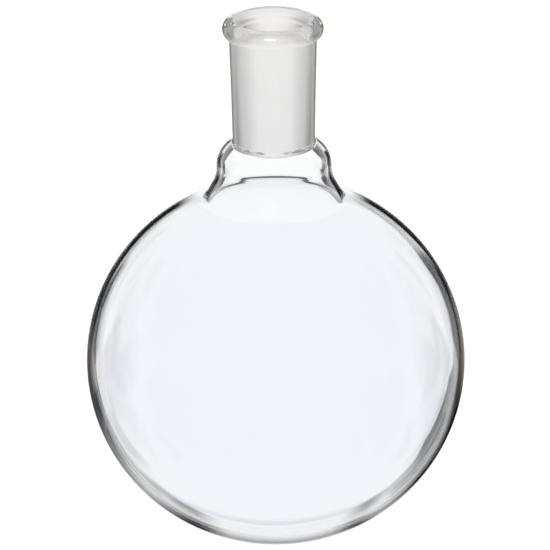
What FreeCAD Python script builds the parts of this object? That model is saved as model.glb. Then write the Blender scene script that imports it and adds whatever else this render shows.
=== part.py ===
"""Round bottom flask, 1000 mL, with a 24/40 ground glass socket.

The vessel is a stack of four rings of glass about the Z axis, sealed to each other face to face:
bulb, neck collar, joint socket and rim bead. The origin is the lowest point of the bulb, +Z up.
Each piece is one closed outline in the XZ half plane, turned once round Z. All sizes are in mm.
"""

import FreeCAD, Part
import math
import os

# Driving dimensions

# Bulb: two ovals, one inside the other
bulb_diameter = 131.0
bulb_height = 127.8          # as if its top were whole, so it is a little flatter than a ball
bulb_side_wall = 1.7
bulb_bottom_wall = 2.4
bulb_top_wall = 1.5

# Ground socket: a bore that tapers 1 in 10 on its diameter
ground_mouth_diameter = 24.0
ground_length = 40.0
ground_taper = 0.1
throat_length = 1.7          # clear straight bore below the ground length
socket_foot_wall = 4.15
socket_mouth_wall = 3.1
socket_side_hollow = 0.1     # how far the middle of the tube's side lies inside a straight line

# Lip: the lower end of the socket's tube, drawn in to a thin round edge that hangs free inside the collar
lip_drop = 1.25
lip_wall = 1.0

# Neck collar, round the socket's lip
collar_clearance = 4.1       # between the collar's inner side and the socket's tube
collar_wall = 1.5
collar_foot_flare = 5.4      # how much wider its foot is than its side
collar_foot_angle = 27.5     # degrees off upright, above the foot
collar_foot_round = 3.0      # the hollow outside, where the foot runs out onto the bulb
collar_waist_radius = 12.0
collar_side_height = 0.75
collar_shoulder_radius = 9.2
seal_fillet = 1.2            # where the shoulder runs into the socket's tube

# Rim bead
bead_radius = 3.5
bead_overhang = 2.25
bead_rise = 4.8              # above the end of the ground length
bead_inner_round = 3.2       # height of the oval that rounds the mouth's inner edge

# Radii and heights that follow from them

bulb_radius = bulb_diameter / 2
bulb_half_height = bulb_height / 2
cavity_radius = bulb_radius - bulb_side_wall
cavity_half_height = (bulb_height - bulb_bottom_wall - bulb_top_wall) / 2
cavity_centre = bulb_bottom_wall + cavity_half_height

mouth_radius = ground_mouth_diameter / 2
throat_radius = mouth_radius - ground_length * ground_taper / 2
tube_radius = throat_radius + socket_foot_wall

collar_bore = tube_radius + collar_clearance
collar_radius = collar_bore + collar_wall
foot_radius = collar_radius + collar_foot_flare

# The collar's foot ends square across the bulb's wall. Its hollow and the round inside it share one centre,
# which stands off the bulb along the line of that end.
foot_height = bulb_half_height * (1 + math.sqrt(1 - (foot_radius / bulb_radius) ** 2))
foot_normal = math.atan2(
    foot_radius / bulb_radius**2, (foot_height - bulb_half_height) / bulb_half_height**2
)
foot_centre = (
    foot_radius + collar_foot_round * math.sin(foot_normal),
    foot_height + collar_foot_round * math.cos(foot_normal),
)
foot_slope = math.radians(collar_foot_angle)
foot_start = (
    foot_centre[0] - collar_foot_round * math.cos(foot_slope),
    foot_centre[1] - collar_foot_round * math.sin(foot_slope),
)

waist_corner = foot_start[1] + (foot_start[0] - collar_radius) / math.tan(foot_slope)
waist_tangent = collar_waist_radius * math.tan(foot_slope / 2)
waist_top = waist_corner + waist_tangent
shoulder_height = waist_top + collar_side_height

# The shoulder is an arc about a point inside the tube's wall, and the fillet rolls between it and the tube.
shoulder_centre = collar_radius - collar_shoulder_radius
shoulder_bore = collar_shoulder_radius - collar_wall
seal_low = shoulder_height + math.sqrt(shoulder_bore**2 - (tube_radius - shoulder_centre) ** 2)
fillet_centre = tube_radius + seal_fillet
seal_high = shoulder_height + math.sqrt(
    (collar_shoulder_radius + seal_fillet) ** 2 - (fillet_centre - shoulder_centre) ** 2
)
fillet_angle = math.degrees(math.atan2(seal_high - shoulder_height, fillet_centre - shoulder_centre))

lip_height = seal_low - lip_drop
throat_low = lip_height + lip_wall / 2
ground_low = throat_low + throat_length
ground_high = ground_low + ground_length

# The bead's section is a circle outside and an oval inside, and the tube's side ends on the circle.
tube_mouth_radius = mouth_radius + socket_mouth_wall
bead_centre_radius = tube_mouth_radius + bead_overhang - bead_radius
rim_height = ground_high + bead_rise
bead_centre_height = rim_height - bead_radius
bead_foot_angle = -math.degrees(math.acos((tube_mouth_radius - bead_centre_radius) / bead_radius))
bead_foot_height = bead_centre_height + bead_radius * math.sin(math.radians(bead_foot_angle))


def point(radius, height):
    return FreeCAD.Vector(radius, 0, height)


def line(start, end):
    return Part.LineSegment(point(*start), point(*end))


def arc(centre, radius, start, end):
    """Part of a circle, between two angles in degrees from the outward direction towards up."""
    angles = (start, (start + end) / 2, end)
    return Part.Arc(
        *(
            point(
                centre[0] + radius * math.cos(math.radians(a)),
                centre[1] + radius * math.sin(math.radians(a)),
            )
            for a in angles
        )
    )


def oval_arc(centre, half_width, half_height, start, end):
    """Part of an oval: a circle's arc as an exact curve, with its poles stretched to the two half sizes."""
    curve = arc((0, 0), 1, start, end).toBSpline()
    for i, pole in enumerate(curve.getPoles(), 1):
        curve.setPole(i, point(centre[0] + half_width * pole.x, centre[1] + half_height * pole.z))
    return curve


def oval_angle(offset, half_height):
    """The angle at which an oval reaches a height above its centre."""
    return math.degrees(math.asin(offset / half_height))


def cavity_mouth():
    """Where a line square across the bulb's wall from the collar's foot meets the bulb's inner oval."""
    inward, down = math.sin(foot_normal), math.cos(foot_normal)
    above = foot_height - cavity_centre
    squared = (inward / cavity_radius) ** 2 + (down / cavity_half_height) ** 2
    linear = -foot_radius * inward / cavity_radius**2 - above * down / cavity_half_height**2
    constant = (foot_radius / cavity_radius) ** 2 + (above / cavity_half_height) ** 2 - 1
    wall = (-linear - math.sqrt(linear**2 - squared * constant)) / squared
    return foot_radius - wall * inward, foot_height - wall * down


def arc_through(start, middle, end):
    return Part.Arc(point(*start), point(*middle), point(*end))


def turned(curves):
    """The solid that a closed outline makes when it is turned once round Z."""
    edges = Part.sortEdges([curve.toShape() for curve in curves])[0]
    face = Part.Face(Part.Wire(edges))
    solid = face.revolve(FreeCAD.Vector(0, 0, 0), FreeCAD.Vector(0, 0, 1), 360)
    if solid.Volume < 0:
        solid.reverse()
    return solid


def bulb():
    mouth = cavity_mouth()
    outer_end = oval_angle(foot_height - bulb_half_height, bulb_half_height)
    inner_end = oval_angle(mouth[1] - cavity_centre, cavity_half_height)
    return turned(
        [
            oval_arc((0, bulb_half_height), bulb_radius, bulb_half_height, -90, outer_end),
            line((foot_radius, foot_height), mouth),
            oval_arc((0, cavity_centre), cavity_radius, cavity_half_height, -90, inner_end),
            line((0, bulb_bottom_wall), (0, 0)),
        ]
    )


def neck_collar():
    waist_start = (
        collar_radius + waist_tangent * math.sin(foot_slope),
        waist_corner - waist_tangent * math.cos(foot_slope),
    )
    waist_centre = (collar_radius + collar_waist_radius, waist_top)
    bore_waist_radius = collar_waist_radius + collar_wall
    bore_waist_end = (
        waist_centre[0] - bore_waist_radius * math.cos(foot_slope),
        waist_centre[1] - bore_waist_radius * math.sin(foot_slope),
    )
    shoulder = (shoulder_centre, shoulder_height)
    mouth = cavity_mouth()
    bore_foot_start = (
        foot_centre[0] - (collar_foot_round + collar_wall) * math.cos(foot_slope),
        foot_centre[1] - (collar_foot_round + collar_wall) * math.sin(foot_slope),
    )
    mouth_reach = math.dist(foot_centre, mouth)
    turn_angle = (foot_slope + math.pi / 2 - foot_normal) / 2
    turn_reach = (collar_foot_round + collar_wall + mouth_reach) / 2
    bore_foot_middle = (
        foot_centre[0] - turn_reach * math.cos(turn_angle),
        foot_centre[1] - turn_reach * math.sin(turn_angle),
    )
    bore_seal_angle = math.degrees(math.acos((tube_radius - shoulder_centre) / shoulder_bore))
    return turned(
        [
            arc(foot_centre, collar_foot_round, 270 - math.degrees(foot_normal), 180 + collar_foot_angle),
            line(foot_start, waist_start),
            arc(waist_centre, collar_waist_radius, 180 + collar_foot_angle, 180),
            line((collar_radius, waist_top), (collar_radius, shoulder_height)),
            arc(shoulder, collar_shoulder_radius, 0, fillet_angle),
            arc((fillet_centre, seal_high), seal_fillet, 180 + fillet_angle, 180),
            line((tube_radius, seal_high), (tube_radius, seal_low)),
            arc(shoulder, shoulder_bore, bore_seal_angle, 0),
            line((collar_bore, shoulder_height), (collar_bore, waist_top)),
            arc(waist_centre, bore_waist_radius, 180, 180 + collar_foot_angle),
            line(bore_waist_end, bore_foot_start),
            arc_through(bore_foot_start, bore_foot_middle, mouth),
            line(mouth, (foot_radius, foot_height)),
        ]
    )


def joint_socket():
    lip_radius = throat_radius + lip_wall
    middle = (
        (tube_radius + tube_mouth_radius) / 2 - socket_side_hollow,
        (seal_high + bead_foot_height) / 2,
    )
    side = arc_through((tube_radius, seal_high), middle, (tube_mouth_radius, bead_foot_height))
    return turned(
        [
            arc((throat_radius + lip_wall / 2, throat_low), lip_wall / 2, 180, 360),
            oval_arc((tube_radius, throat_low), tube_radius - lip_radius, seal_low - throat_low, 180, 90),
            line((tube_radius, seal_low), (tube_radius, seal_high)),
            side,
            line((tube_mouth_radius, bead_foot_height), (mouth_radius, ground_high)),
            line((mouth_radius, ground_high), (throat_radius, ground_low)),
            line((throat_radius, ground_low), (throat_radius, throat_low)),
        ]
    )


def rim_bead():
    crown = (bead_centre_radius, rim_height - bead_inner_round)
    return turned(
        [
            arc((bead_centre_radius, bead_centre_height), bead_radius, bead_foot_angle, 90),
            oval_arc(crown, bead_centre_radius - mouth_radius, bead_inner_round, 90, 180),
            line((mouth_radius, crown[1]), (mouth_radius, ground_high)),
            line((mouth_radius, ground_high), (tube_mouth_radius, bead_foot_height)),
        ]
    )


os.makedirs("parts", exist_ok=True)
for make in (bulb, neck_collar, joint_socket, rim_bead):
    piece = make()
    piece.exportStep(f"parts/{make.__name__}.step")
    print(make.__name__, piece.isValid(), round(piece.Volume, 1), "mm3")
print("foot", round(foot_height, 3), "throat", round(throat_low, 3), "to", round(ground_low, 3))
print("ground end", round(ground_high, 3), "rim", round(rim_height, 3), "cavity mouth", cavity_mouth())
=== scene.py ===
import math

import bpy
from mathutils import Matrix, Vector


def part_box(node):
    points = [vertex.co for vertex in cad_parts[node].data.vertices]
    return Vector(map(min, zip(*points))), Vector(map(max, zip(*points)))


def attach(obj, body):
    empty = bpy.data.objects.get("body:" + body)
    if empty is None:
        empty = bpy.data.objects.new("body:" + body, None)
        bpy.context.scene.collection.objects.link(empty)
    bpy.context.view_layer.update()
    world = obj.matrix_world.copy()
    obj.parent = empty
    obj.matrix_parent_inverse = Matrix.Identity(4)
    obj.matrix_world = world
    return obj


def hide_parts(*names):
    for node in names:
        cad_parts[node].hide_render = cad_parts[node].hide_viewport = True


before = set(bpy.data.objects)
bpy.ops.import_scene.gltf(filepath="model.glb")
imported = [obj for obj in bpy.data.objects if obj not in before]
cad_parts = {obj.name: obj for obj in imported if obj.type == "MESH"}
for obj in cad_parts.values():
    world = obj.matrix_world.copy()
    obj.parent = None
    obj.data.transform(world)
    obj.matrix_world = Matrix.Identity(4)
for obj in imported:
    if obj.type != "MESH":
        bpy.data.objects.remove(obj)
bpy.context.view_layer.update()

# Round bottom flask: a blown bulb, its neck collar, a ground joint socket and a rim bead,
# sealed in the flame. Everything is in metres. What the frame holds is read from it, and
# the rest is named here.

MM = 0.001
AROUND = 192                 # points in each ring
FOOT_STEPS = 16
SMOOTH_ANGLE = math.radians(35)
SAME_POINT = 1e-6
CUT_THRESHOLD = 1e-7
NEAR_ENOUGH = 0.05 * MM
UPRIGHT = 0.01               # an upright face's normal rises or falls by less than this,
CONE_LEAN = 0.3              # and the normal of the seal between socket and bead by more than this

_, bulb_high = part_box("bulb")
collar_low, collar_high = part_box("neck_collar")
socket_low, socket_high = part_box("joint_socket")
bead_low, bead_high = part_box("rim_bead")

bulb_radius = bulb_high[0]
foot_height = bulb_high[2]
foot_radius = collar_high[0]
mouth_height = collar_low[2]
seal_high = collar_high[2]
lip_height = socket_low[2]
ground_high = socket_high[2]
tube_mouth_radius = socket_high[0]
bead_foot = bead_low[2]
rim_height = bead_high[2]
bead_reach = bead_high[0]

# Bulb walls
bulb_half_height = 63.9 * MM
bulb_side_wall = 1.7 * MM
bulb_bottom_wall = 2.4 * MM
bulb_top_wall = 1.5 * MM
cavity_radius = bulb_radius - bulb_side_wall
cavity_half_height = bulb_half_height - (bulb_bottom_wall + bulb_top_wall) / 2
cavity_centre = bulb_bottom_wall + cavity_half_height
cavity_mouth_radius = cavity_radius * math.sqrt(
    1 - ((mouth_height - cavity_centre) / cavity_half_height) ** 2
)
wall_drift = 0.08 * MM       # height of the slow waves in the blown inner wall, crest to trough
wall_drift_size = 45 * MM
drift_free_top = 6 * MM      # below the collar the wall is even,
drift_fade = 20 * MM         # and the waves grow to their full height over this

# Neck
mouth_radius = 12.0 * MM
throat_radius = 10.0 * MM
tube_radius = 14.15 * MM
tube_side_hollow = 0.1 * MM
throat_length = 1.7 * MM
lip_wall = 1.0 * MM
collar_wall = 1.5 * MM
collar_radius = 19.75 * MM
collar_bore = collar_radius - collar_wall
waist_radius = 12.0 * MM
shoulder_radius = 9.2 * MM
seal_fillet = 1.2 * MM
foot_angle = 27.5
foot_slope = math.radians(foot_angle)
foot_round = 3.0 * MM
bead_radius = 3.5 * MM
bead_inner_round = 3.2 * MM


# Modelling


def start_ring(name, radius, height):
    """A level ring of points about the axis, in edit mode and all selected."""
    bpy.ops.object.select_all(action="DESELECT")
    bpy.ops.mesh.primitive_circle_add(vertices=AROUND, radius=radius, location=(0, 0, height))
    piece = bpy.context.object
    piece.name = name
    bpy.ops.object.transform_apply()
    bpy.ops.object.mode_set(mode="EDIT")
    bpy.ops.mesh.select_all(action="SELECT")
    return piece


def turn(name, outline):
    """Carries a ring of points along a closed outline of (radius, height), one extrusion a step."""
    piece = start_ring(name, *outline[0])
    radius, height = outline[0]
    for to_radius, to_height in outline[1:] + outline[:1]:
        rise = (0, 0, to_height - height)
        bpy.ops.mesh.extrude_region_move(TRANSFORM_OT_translate={"value": rise})
        share = to_radius / radius
        bpy.ops.transform.resize(value=(share, share, 1), center_override=(0, 0, to_height))
        radius, height = to_radius, to_height
    bpy.ops.mesh.select_all(action="SELECT")
    bpy.ops.mesh.remove_doubles(threshold=SAME_POINT)
    bpy.ops.mesh.normals_make_consistent(inside=False)
    bpy.ops.object.mode_set(mode="OBJECT")
    return piece


def arc(centre, radii, start, end, steps):
    """Points of an oval arc but its last, with angles in degrees from outward towards up."""
    points = []
    for i in range(steps):
        angle = math.radians(start + (end - start) * i / steps)
        points.append(
            (centre[0] + radii[0] * math.cos(angle), centre[1] + radii[1] * math.sin(angle))
        )
    return points


def line(start, end, steps):
    """Points along a straight side, without its last."""
    return [
        (start[0] + (end[0] - start[0]) * i / steps, start[1] + (end[1] - start[1]) * i / steps)
        for i in range(steps)
    ]


def ball(name, radius, half_height, centre, top, mouth):
    """An oval shell, cut open at a height, with its mouth brought to an exact radius."""
    bpy.ops.object.select_all(action="DESELECT")
    bpy.ops.mesh.primitive_uv_sphere_add(segments=AROUND, ring_count=AROUND // 2, radius=radius)
    shell = bpy.context.object
    shell.name = name
    bpy.ops.object.mode_set(mode="EDIT")
    bpy.ops.mesh.select_all(action="SELECT")
    bpy.ops.transform.resize(value=(1, 1, half_height / radius), center_override=(0, 0, 0))
    bpy.ops.transform.translate(value=(0, 0, centre))
    bpy.ops.mesh.bisect(
        plane_co=(0, 0, top), plane_no=(0, 0, 1), threshold=CUT_THRESHOLD, clear_outer=True
    )
    bpy.ops.mesh.select_all(action="DESELECT")
    bpy.ops.object.mode_set(mode="OBJECT")
    ring = [point for point in shell.data.vertices if abs(point.co.z - top) < SAME_POINT]
    for point in ring:
        point.select = True
    share = mouth / max(math.hypot(point.co.x, point.co.y) for point in ring)
    bpy.ops.object.mode_set(mode="EDIT")
    bpy.ops.mesh.select_mode(type="VERT")
    bpy.ops.transform.resize(value=(share, share, 1), center_override=(0, 0, top))
    bpy.ops.object.mode_set(mode="OBJECT")
    return shell


def let_wall_drift(piece):
    """Blown glass is never quite even: its inner wall wanders in slow waves."""
    drifting = piece.vertex_groups.new(name="drifting")
    for point in piece.data.vertices:
        share = min(max((foot_height - drift_free_top - point.co.z) / drift_fade, 0), 1)
        drifting.add([point.index], share, "REPLACE")
    waves = bpy.data.textures.new("wall_waves", "CLOUDS")
    waves.noise_scale = wall_drift_size
    waves.noise_depth = 1
    drift = piece.modifiers.new("wall_drift", "DISPLACE")
    drift.texture = waves
    drift.texture_coords = "LOCAL"
    drift.vertex_group = "drifting"
    drift.strength = wall_drift
    drift.mid_level = 0.5
    bpy.ops.object.modifier_apply(modifier="wall_drift")
    piece.vertex_groups.clear()


def weld_faces(piece, is_weld):
    """Gives the faces fused to a neighbour their own material slot, with sharp edges round them."""
    for face in piece.data.polygons:
        face.select = is_weld(face.center, face.normal)
        face.material_index = 1 if face.select else 0
    bpy.ops.object.select_all(action="DESELECT")
    bpy.context.view_layer.objects.active = piece
    piece.select_set(True)
    bpy.ops.object.shade_smooth_by_angle(angle=SMOOTH_ANGLE)
    bpy.ops.object.mode_set(mode="EDIT")
    bpy.ops.mesh.select_mode(type="FACE")
    bpy.ops.mesh.region_to_loop()
    bpy.ops.mesh.mark_sharp()
    bpy.ops.mesh.select_mode(type="VERT")
    bpy.ops.object.mode_set(mode="OBJECT")


def on_foot_ring(place):
    """The slanting ring, square across the bulb's wall, where the collar's foot is fused to it."""
    middle = ((foot_radius + cavity_mouth_radius) / 2, (foot_height + mouth_height) / 2)
    out = math.hypot(place.x, place.y)
    return math.dist((out, place.z), middle) < NEAR_ENOUGH


def blown_bulb():
    outer = ball(
        "bulb_glass", bulb_radius, bulb_half_height, bulb_half_height, foot_height, foot_radius
    )
    inner = ball(
        "bulb_inner_wall",
        cavity_radius,
        cavity_half_height,
        cavity_centre,
        mouth_height,
        cavity_mouth_radius,
    )
    let_wall_drift(inner)
    bpy.ops.object.mode_set(mode="EDIT")
    bpy.ops.mesh.select_all(action="SELECT")
    bpy.ops.mesh.normals_make_consistent(inside=True)
    bpy.ops.object.mode_set(mode="OBJECT")
    bpy.ops.object.select_all(action="DESELECT")
    inner.select_set(True)
    outer.select_set(True)
    bpy.context.view_layer.objects.active = outer
    bpy.ops.object.join()
    bpy.ops.object.mode_set(mode="EDIT")
    bpy.ops.mesh.select_mode(type="EDGE")
    bpy.ops.mesh.select_all(action="DESELECT")
    bpy.ops.mesh.select_non_manifold()
    bpy.ops.mesh.bridge_edge_loops()
    bpy.ops.mesh.select_mode(type="VERT")
    bpy.ops.object.mode_set(mode="OBJECT")
    weld_faces(outer, lambda place, normal: on_foot_ring(place))
    return outer


def neck_collar():
    foot_normal = math.atan2(
        foot_radius / bulb_radius**2, (foot_height - bulb_half_height) / bulb_half_height**2
    )
    foot_centre = (
        foot_radius + foot_round * math.sin(foot_normal),
        foot_height + foot_round * math.cos(foot_normal),
    )
    foot_start = (
        foot_centre[0] - foot_round * math.cos(foot_slope),
        foot_centre[1] - foot_round * math.sin(foot_slope),
    )
    waist_corner = foot_start[1] + (foot_start[0] - collar_radius) / math.tan(foot_slope)
    waist_tangent = waist_radius * math.tan(foot_slope / 2)
    waist_start = (
        collar_radius + waist_tangent * math.sin(foot_slope),
        waist_corner - waist_tangent * math.cos(foot_slope),
    )
    bore_foot_start = (
        foot_centre[0] - (foot_round + collar_wall) * math.cos(foot_slope),
        foot_centre[1] - (foot_round + collar_wall) * math.sin(foot_slope),
    )
    waist_top = waist_corner + waist_tangent
    waist_centre = (collar_radius + waist_radius, waist_top)
    bore_waist = waist_radius + collar_wall
    bore_waist_end = (
        waist_centre[0] - bore_waist * math.cos(foot_slope),
        waist_centre[1] - bore_waist * math.sin(foot_slope),
    )
    shoulder_centre = collar_radius - shoulder_radius
    shoulder_bore = shoulder_radius - collar_wall
    fillet_centre = tube_radius + seal_fillet
    shoulder_height = seal_high - math.sqrt(
        (shoulder_radius + seal_fillet) ** 2 - (fillet_centre - shoulder_centre) ** 2
    )
    seal_low = shoulder_height + math.sqrt(
        shoulder_bore**2 - (tube_radius - shoulder_centre) ** 2
    )
    fillet_angle = math.degrees(
        math.atan2(seal_high - shoulder_height, fillet_centre - shoulder_centre)
    )
    bore_angle = math.degrees(math.acos((tube_radius - shoulder_centre) / shoulder_bore))
    shoulder = (shoulder_centre, shoulder_height)
    # As the foot turns, the collar's wall eases into the bulb's, without a corner at either end.
    collar_reach = foot_round + collar_wall
    bulb_reach = math.dist(foot_centre, (cavity_mouth_radius, mouth_height))
    start, end = 180 + foot_angle, 270 - math.degrees(foot_normal)
    turning_foot = []
    for i in range(FOOT_STEPS):
        part = i / FOOT_STEPS
        reach = collar_reach + (bulb_reach - collar_reach) * (3 - 2 * part) * part**2
        angle = math.radians(start + (end - start) * part)
        turning_foot.append(
            (foot_centre[0] + reach * math.cos(angle), foot_centre[1] + reach * math.sin(angle))
        )
    outline = (
        arc(foot_centre, (foot_round,) * 2, end, start, FOOT_STEPS)
        + line(foot_start, waist_start, 4)
        + arc(waist_centre, (waist_radius,) * 2, start, 180, 8)
        + line((collar_radius, waist_top), (collar_radius, shoulder_height), 1)
        + arc(shoulder, (shoulder_radius,) * 2, 0, fillet_angle, 16)
        + arc((fillet_centre, seal_high), (seal_fillet,) * 2, 180 + fillet_angle, 180, 8)
        + line((tube_radius, seal_high), (tube_radius, seal_low), 1)
        + arc(shoulder, (shoulder_bore,) * 2, bore_angle, 0, 14)
        + line((collar_bore, shoulder_height), (collar_bore, waist_top), 1)
        + arc(waist_centre, (bore_waist,) * 2, 180, start, 8)
        + line(bore_waist_end, bore_foot_start, 4)
        + turning_foot
        + [(cavity_mouth_radius, mouth_height)]
    )
    piece = turn("neck_collar_glass", outline)

    def is_weld(place, normal):
        out = math.hypot(place.x, place.y)
        on_tube = abs(out - tube_radius) < NEAR_ENOUGH and place.z < seal_high
        upright = abs(normal.z) < UPRIGHT
        return on_tube and upright or on_foot_ring(place)

    weld_faces(piece, is_weld)
    return piece, seal_low


def joint_socket(seal_low):
    lip_round = lip_wall / 2
    throat_low = lip_height + lip_round
    lip_reach = tube_radius - throat_radius - lip_wall
    ground_low = throat_low + throat_length
    low, high = (tube_radius, seal_high), (tube_mouth_radius, bead_foot)
    steps = 24
    side = [
        (radius - tube_side_hollow * 4 * (i / steps) * (1 - i / steps), height)
        for i, (radius, height) in enumerate(line(low, high, steps))
    ]
    outline = (
        arc((throat_radius + lip_round, throat_low), (lip_round,) * 2, 180, 360, 12)
        + arc((tube_radius, throat_low), (lip_reach, seal_low - throat_low), 180, 90, 12)
        + [(tube_radius, seal_low)]
        + side
        + line((tube_mouth_radius, bead_foot), (mouth_radius, ground_high), 1)
        + line((mouth_radius, ground_high), (throat_radius, ground_low), 24)
        + [(throat_radius, ground_low)]
    )
    piece = turn("joint_socket_glass", outline)

    def is_weld(place, normal):
        out = math.hypot(place.x, place.y)
        upright = abs(out - tube_radius) < NEAR_ENOUGH and seal_low < place.z < seal_high
        cone = place.z > bead_foot and normal.z > CONE_LEAN
        return upright or cone

    weld_faces(piece, is_weld)
    for face in piece.data.polygons:
        out = math.hypot(face.center.x, face.center.y)
        in_bore = out < mouth_radius and ground_low < face.center.z < ground_high
        if in_bore and face.material_index == 0:
            face.material_index = 2
    return piece


def rim_bead():
    centre = (bead_reach - bead_radius, rim_height - bead_radius)
    foot_angle = -math.degrees(math.acos((tube_mouth_radius - centre[0]) / bead_radius))
    inner = (centre[0] - mouth_radius, bead_inner_round)
    crown = rim_height - bead_inner_round
    outline = (
        arc(centre, (bead_radius,) * 2, foot_angle, 90, 40)
        + arc((centre[0], crown), inner, 90, 180, 24)
        + [(mouth_radius, crown)]
        + line((mouth_radius, ground_high), (tube_mouth_radius, bead_foot), 1)
    )
    piece = turn("rim_bead_glass", outline)

    def is_weld(place, normal):
        return bead_foot < place.z < ground_high and normal.z < -CONE_LEAN and (
            math.hypot(place.x, place.y) < tube_mouth_radius
        )

    weld_faces(piece, is_weld)
    for face in piece.data.polygons:
        out = math.hypot(face.center.x, face.center.y)
        if out < centre[0] and face.center.z > ground_high and face.material_index == 0:
            face.material_index = 2
    return piece


# Materials

BOROSILICATE = 1.474          # refractive index
FAINT_GLOSS = 0.06
PANE = (0.97, 0.975, 0.98)
FROST_BODY = (0.985, 0.975, 0.965)
FROST_GLOW = (0.73, 0.72, 0.71)
# The pits' dark grey is partly frost and partly painted shade, darkening the frost where it is seen
# aslant, as on the sides of the ground tube
FROST_PITS_AND_SIDE_SHADE = (0.26, 0.25, 0.245)
SHADED_PITS_FROM = 0.08              # how far aslant the frost is seen where its dark pits, partly painted shade, begin to show,
SHADED_PITS_FULL = 0.42              # and where they show in full
MOST_BOUNCES = 24
MOST_MIRRORED = 20
# Painted shade at the edges of the walls: once a ray has bounced more times than these, as light
# running round inside a wall does, the glass turns into a dark tinted pane
BULB_PAINTED_EDGE_SHADE = (8.5, (0.1, 0.105, 0.085))
NECK_PAINTED_EDGE_SHADE = (12.5, (0.6, 0.63, 0.48))
BEAD_PAINTED_EDGE_SHADE = (6.5, (0.16, 0.17, 0.11))


def new_material(name):
    material = bpy.data.materials.new(name)
    material.use_nodes = True
    nodes, links = material.node_tree.nodes, material.node_tree.links
    return material, nodes, links, nodes["Principled BSDF"], nodes["Material Output"]


def mixed(nodes, links, share, first, second):
    """Two finishes of one surface, with a number or a socket for the share of the second."""
    mix = nodes.new("ShaderNodeMixShader")
    if isinstance(share, float):
        mix.inputs[0].default_value = share
    else:
        links.new(share, mix.inputs[0])
    links.new(first.outputs[0], mix.inputs[1])
    links.new(second.outputs[0], mix.inputs[2])
    return mix


def see_through(nodes, colour):
    pane = nodes.new("ShaderNodeBsdfTransparent")
    pane.inputs["Color"].default_value = (*colour, 1)
    return pane


def pass_soft_light(nodes, links, surface, output):
    """Shadows and soft light cross the glass as a clear pane, so the flask's shadow is pale."""
    path = nodes.new("ShaderNodeLightPath")
    either = nodes.new("ShaderNodeMath")
    either.operation = "MAXIMUM"
    links.new(path.outputs["Is Shadow Ray"], either.inputs[0])
    links.new(path.outputs["Is Diffuse Ray"], either.inputs[1])
    pane = see_through(nodes, PANE)
    whole = mixed(nodes, links, either.outputs[0], surface, pane)
    links.new(whole.outputs[0], output.inputs["Surface"])


def clear_body(nodes, links, shader, tint, roughness, painted_edge_shade, gloss):
    """Glass whose gloss face on is a share of the full one. At a grazing angle it is full."""
    shader.inputs["Base Color"].default_value = (*tint, 1)
    shader.inputs["Roughness"].default_value = roughness
    shader.inputs["IOR"].default_value = BOROSILICATE
    shader.inputs["Transmission Weight"].default_value = 1.0
    shader.inputs["Specular Tint"].default_value = (gloss, gloss, gloss, 1)
    # Past the set ray depth the glass is swapped for a dark tinted pane: painted shade on the edges
    # of the walls
    path = nodes.new("ShaderNodeLightPath")
    edge_shade_switch = nodes.new("ShaderNodeMath")
    edge_shade_switch.operation = "GREATER_THAN"
    edge_shade_switch.inputs[1].default_value = painted_edge_shade[0]
    links.new(path.outputs["Ray Depth"], edge_shade_switch.inputs[0])
    return mixed(nodes, links, edge_shade_switch.outputs[0], shader, see_through(nodes, painted_edge_shade[1]))


def glass(name, tint, roughness, painted_edge_shade, gloss=FAINT_GLOSS):
    material, nodes, links, shader, output = new_material(name)
    body = clear_body(nodes, links, shader, tint, roughness, painted_edge_shade, gloss)
    pass_soft_light(nodes, links, body, output)
    return material


def ground_glass(name, painted_edge_shade, roughness, softness, least, most):
    """Passes light softly, and its pits scatter more of it the more aslant it is seen.

    The share of the dark pit colour runs from least, face on, to most, aslant; it is frost, and
    also painted shade that darkens the frost's sides.
    """
    material, nodes, links, shader, output = new_material(name)
    body = clear_body(nodes, links, shader, FROST_BODY, roughness, painted_edge_shade, FAINT_GLOSS)
    glow = nodes.new("ShaderNodeBsdfTranslucent")
    glow.inputs["Color"].default_value = (*FROST_GLOW, 1)
    # Pits: a dark diffuse grey, frost and also painted shade where the frost is seen aslant
    pits_and_side_shade = nodes.new("ShaderNodeBsdfDiffuse")
    pits_and_side_shade.inputs["Color"].default_value = (*FROST_PITS_AND_SIDE_SHADE, 1)
    facing = nodes.new("ShaderNodeLayerWeight")
    facing.inputs["Blend"].default_value = 0.5
    aslant = nodes.new("ShaderNodeMapRange")
    aslant.inputs["From Min"].default_value = SHADED_PITS_FROM
    aslant.inputs["From Max"].default_value = SHADED_PITS_FULL
    aslant.inputs["To Min"].default_value = least
    aslant.inputs["To Max"].default_value = most
    links.new(facing.outputs["Facing"], aslant.inputs["Value"])
    soft = mixed(nodes, links, softness, body, glow)
    pitted_and_shaded = mixed(nodes, links, aslant.outputs["Result"], soft, pits_and_side_shade)
    pass_soft_light(nodes, links, pitted_and_shaded, output)
    return material


def fused_glass():
    """The inside of a flame seal: nothing shows where two pieces are one glass."""
    material, nodes, links, shader, output = new_material("fused_seal")
    nodes.remove(shader)
    clear = nodes.new("ShaderNodeBsdfTransparent")
    links.new(clear.outputs[0], output.inputs["Surface"])
    return material


# Studio

# Windows and their cards, in degrees as seen from the flask
WINDOW_SPACING = 45.0
WINDOW_HEIGHT = -20.0
BAY_LEFT = 26.0              # how far a window's own cards reach to its left
WINDOW_SHIFT = 1.0
WINDOW_REACH = 9.4
WINDOW_EDGE = 0.7
CARD_REACH = 27.0
CARD_EDGE = 4.0
LOW_LINE = (-9.2, -8.8, -8.5, -7.0)   # a thin card low down: fades in, holds, fades out
LOW_LINE_SHARE = 0.4
LOW_LINE_COLOUR = (0.35, 0.37, 0.42)
SOFT_LIGHT = 1.25            # what matt surfaces see

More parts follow.
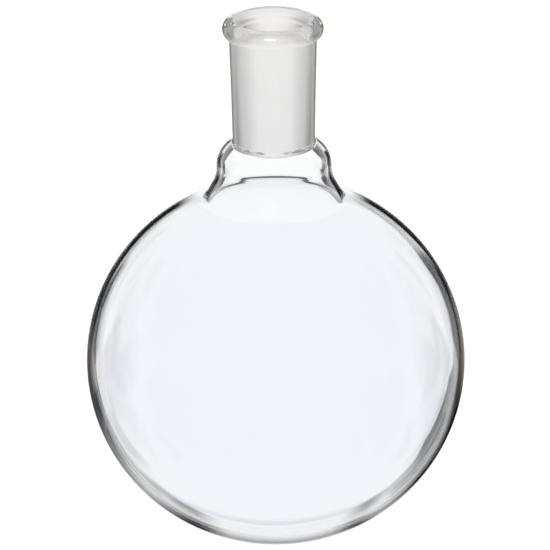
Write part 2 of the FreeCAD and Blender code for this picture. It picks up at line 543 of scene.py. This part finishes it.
# Floor, softbox and camera, in metres and radians
FLOOR_SIZE = 40
SOFTBOX_SIZE = 0.8
SOFTBOX_POWER = 20
SOFTBOX_PLACE = (-0.24, -1.68, 1.25)
SOFTBOX_TURN = (math.radians(58), 0, math.radians(-8))
CAMERA_DISTANCE = 2.65
CAMERA_ELEVATION = math.radians(20)
CAMERA_AIM = 95 * MM         # height of the point it looks at
CAMERA_LEAN = math.radians(0.5)
CAMERA_LENS = 502.7          # mm, on a 36 mm sensor
SENSOR_WIDTH = 36

# Card colours
BLACK = (0.01, 0.01, 0.012)
SLATE = (0.07, 0.065, 0.065)
GREY = (0.42, 0.42, 0.43)
UMBER = (0.3, 0.27, 0.24)
SAND = (0.38, 0.35, 0.32)
PALE = (0.9, 0.9, 0.9)
WHITE = (1.0, 1.0, 1.0)
# Each card round a window: its angle from the window's right side, anticlockwise, and colour
CARDS = (
    (-180, SLATE), (-165, SLATE), (-152, GREY), (-138, PALE), (-128, GREY), (-122, SLATE),
    (-116, SLATE), (-108, PALE), (-70, PALE), (-61, SLATE), (-54, PALE), (-45, GREY),
    (-39, BLACK), (-14, BLACK), (-7, UMBER), (2, SAND), (12, UMBER), (22, BLACK), (60, BLACK),
    (66, WHITE), (114, WHITE), (121, BLACK), (165, BLACK), (180, SLATE),
)
# Cards that stand nearer the window than the rest: from an angle, to an angle, and how much
NEAR_CARDS = ((-40, -12, 1.4), (22, 62, 1.4), (122, 166, 1.2))
NEAR_CARD_EDGE = 4


def studio():
    bpy.ops.object.select_all(action="DESELECT")
    bpy.ops.mesh.primitive_plane_add(size=FLOOR_SIZE, location=(0, 0, 0))
    floor = bpy.context.object
    floor.name = "studio_floor"
    material, nodes, links, shader, output = new_material("white_floor")
    shader.inputs["Base Color"].default_value = (*PALE, 1)
    shader.inputs["Roughness"].default_value = 0.9
    floor.data.materials.append(material)
    floor.visible_transmission = False
    floor.visible_glossy = False

    world = bpy.data.worlds.new("studio_world")
    bpy.context.scene.world = world
    world.use_nodes = True
    nodes, links = world.node_tree.nodes, world.node_tree.links
    nodes.clear()
    out = nodes.new("ShaderNodeOutputWorld")
    background = nodes.new("ShaderNodeBackground")
    links.new(background.outputs[0], out.inputs[0])

    def math_node(kind, *values):
        node = nodes.new("ShaderNodeMath")
        node.operation = kind
        for socket, value in zip(node.inputs, values):
            if isinstance(value, (int, float)):
                socket.default_value = value
            else:
                links.new(value, socket)
        return node.outputs[0]

    def smooth_step(value, low, high, to_low=0.0, to_high=1.0):
        node = nodes.new("ShaderNodeMapRange")
        node.interpolation_type = "SMOOTHSTEP"
        links.new(value, node.inputs["Value"])
        node.inputs["From Min"].default_value = low
        node.inputs["From Max"].default_value = high
        node.inputs["To Min"].default_value = to_low
        node.inputs["To Max"].default_value = to_high
        return node.outputs["Result"]

    # Eight white windows stand round the flask. The glass edge picks up the dark cards about each.
    place = nodes.new("ShaderNodeTexCoord")
    split = nodes.new("ShaderNodeSeparateXYZ")
    links.new(place.outputs["Generated"], split.inputs[0])
    bearing = math_node("DEGREES", math_node("ARCTAN2", split.outputs["X"], split.outputs["Y"]))
    across = math_node("WRAP", bearing, WINDOW_SPACING - BAY_LEFT, -BAY_LEFT)
    height = math_node("DEGREES", math_node("ARCSINE", split.outputs["Z"]))
    up = math_node("SUBTRACT", height, WINDOW_HEIGHT)
    shifted = math_node("ADD", across, WINDOW_SHIFT)
    squared = math_node("ADD", math_node("POWER", shifted, 2.0), math_node("POWER", up, 2.0))
    off = math_node("SQRT", squared)
    turn_angle = math_node("DEGREES", math_node("ARCTAN2", up, across))
    dial = math_node("ADD", math_node("DIVIDE", turn_angle, 360.0), 0.5)
    ramp = nodes.new("ShaderNodeValToRGB")
    links.new(dial, ramp.inputs["Fac"])
    stops = ramp.color_ramp.elements
    stops[0].position = (CARDS[0][0] + 180) / 360
    stops[0].color = (*CARDS[0][1], 1)
    stops[1].position = (CARDS[-1][0] + 180) / 360
    stops[1].color = (*CARDS[-1][1], 1)
    for angle, colour in CARDS[1:-1]:
        stop = stops.new((angle + 180) / 360)
        stop.color = (*colour, 1)
    for low, high, nearer in NEAR_CARDS:
        share = math_node(
            "MULTIPLY",
            smooth_step(turn_angle, low - NEAR_CARD_EDGE, low + NEAR_CARD_EDGE),
            smooth_step(turn_angle, high - NEAR_CARD_EDGE, high + NEAR_CARD_EDGE, nearer, 0.0),
        )
        off = math_node("ADD", off, share)
    beyond = math_node(
        "MULTIPLY",
        smooth_step(off, WINDOW_REACH, WINDOW_REACH + WINDOW_EDGE),
        smooth_step(off, CARD_REACH, CARD_REACH + CARD_EDGE, 1.0, 0.0),
    )
    low_line = math_node(
        "MULTIPLY",
        math_node(
            "MULTIPLY",
            smooth_step(up, LOW_LINE[0], LOW_LINE[1]),
            smooth_step(up, LOW_LINE[2], LOW_LINE[3], 1.0, 0.0),
        ),
        LOW_LINE_SHARE,
    )

    cards = nodes.new("ShaderNodeMix")
    cards.data_type = "RGBA"
    cards.inputs["A"].default_value = (1, 1, 1, 1)
    links.new(beyond, cards.inputs["Factor"])
    links.new(ramp.outputs["Color"], cards.inputs["B"])
    lined = nodes.new("ShaderNodeMix")
    lined.data_type = "RGBA"
    links.new(low_line, lined.inputs["Factor"])
    links.new(cards.outputs["Result"], lined.inputs["A"])
    lined.inputs["B"].default_value = (*LOW_LINE_COLOUR, 1)

    path = nodes.new("ShaderNodeLightPath")
    clear_ray, gloss_ray = path.outputs["Is Transmission Ray"], path.outputs["Is Glossy Ray"]
    not_soft = math_node("SUBTRACT", 1.0, path.outputs["Is Diffuse Ray"])
    through = math_node("MULTIPLY", math_node("MAXIMUM", clear_ray, gloss_ray), not_soft)
    mix = nodes.new("ShaderNodeMix")
    mix.data_type = "RGBA"
    mix.inputs["A"].default_value = (SOFT_LIGHT, SOFT_LIGHT, SOFT_LIGHT, 1)
    links.new(through, mix.inputs["Factor"])
    links.new(lined.outputs["Result"], mix.inputs["B"])
    links.new(mix.outputs["Result"], background.inputs["Color"])

    lamp = bpy.data.lights.new("front_softbox", "AREA")
    lamp.shape = "RECTANGLE"
    lamp.size = SOFTBOX_SIZE
    lamp.size_y = SOFTBOX_SIZE
    lamp.energy = SOFTBOX_POWER
    box = bpy.data.objects.new("front_softbox", lamp)
    bpy.context.collection.objects.link(box)
    box.location = SOFTBOX_PLACE
    box.rotation_euler = SOFTBOX_TURN
    box.visible_camera = False
    box.visible_transmission = False
    box.light_linking.receiver_collection = bpy.data.collections.new("lit_by_softbox")


def camera():
    bpy.ops.object.select_all(action="DESELECT")
    shot = bpy.data.cameras.new("camera")
    shot.lens = CAMERA_LENS
    shot.sensor_width = SENSOR_WIDTH
    shot.clip_end = 100
    view = bpy.data.objects.new("camera", shot)
    bpy.context.collection.objects.link(view)
    view.location = (
        0,
        -CAMERA_DISTANCE * math.cos(CAMERA_ELEVATION),
        CAMERA_AIM + CAMERA_DISTANCE * math.sin(CAMERA_ELEVATION),
    )
    view.rotation_mode = "XYZ"
    tilt = Matrix.Rotation(math.pi / 2 - CAMERA_ELEVATION, 4, "X")
    view.rotation_euler = (tilt @ Matrix.Rotation(-CAMERA_LEAN, 4, "Z")).to_euler()
    bpy.context.scene.camera = view


camera()
studio()
bpy.context.scene.view_settings.view_transform = "Standard"
# Light crosses up to eight glass surfaces in the neck, and may run round inside a wall.
light_paths = bpy.context.scene.cycles
light_paths.max_bounces = MOST_BOUNCES
light_paths.glossy_bounces = MOST_MIRRORED
light_paths.transmission_bounces = MOST_BOUNCES
light_paths.transparent_max_bounces = MOST_BOUNCES

blown = glass("blown_bulb_glass", (0.945, 0.952, 0.975), 0.0, BULB_PAINTED_EDGE_SHADE)
clear = glass("clear_neck_glass", (0.985, 0.988, 0.99), 0.0, NECK_PAINTED_EDGE_SHADE)
rounded = glass("fire_polished_bead", (0.985, 0.988, 0.98), 0.0, BEAD_PAINTED_EDGE_SHADE, 1.0)
fused = fused_glass()
frost = ground_glass(
    "ground_frost", NECK_PAINTED_EDGE_SHADE, roughness=0.55, softness=0.85, least=0.0, most=0.95
)
satin = ground_glass("satin_mouth", BEAD_PAINTED_EDGE_SHADE, roughness=0.3, softness=0.55, least=0.02, most=0.3)

bulb = blown_bulb()
collar, collar_seal_low = neck_collar()
socket = joint_socket(collar_seal_low)
bead = rim_bead()
for piece, node, slot, materials in (
    (bulb, "bulb", "clear_glass", (blown, fused)),
    (collar, "neck_collar", "clear_glass", (clear, fused)),
    (socket, "joint_socket", "ground_glass", (clear, fused, frost)),
    (bead, "rim_bead", "clear_glass", (rounded, fused, satin)),
):
    for material in materials:
        piece.data.materials.append(material)
    if piece is not bulb:
        bpy.data.collections["lit_by_softbox"].objects.link(piece)
    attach(piece, "root")
    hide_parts(node)
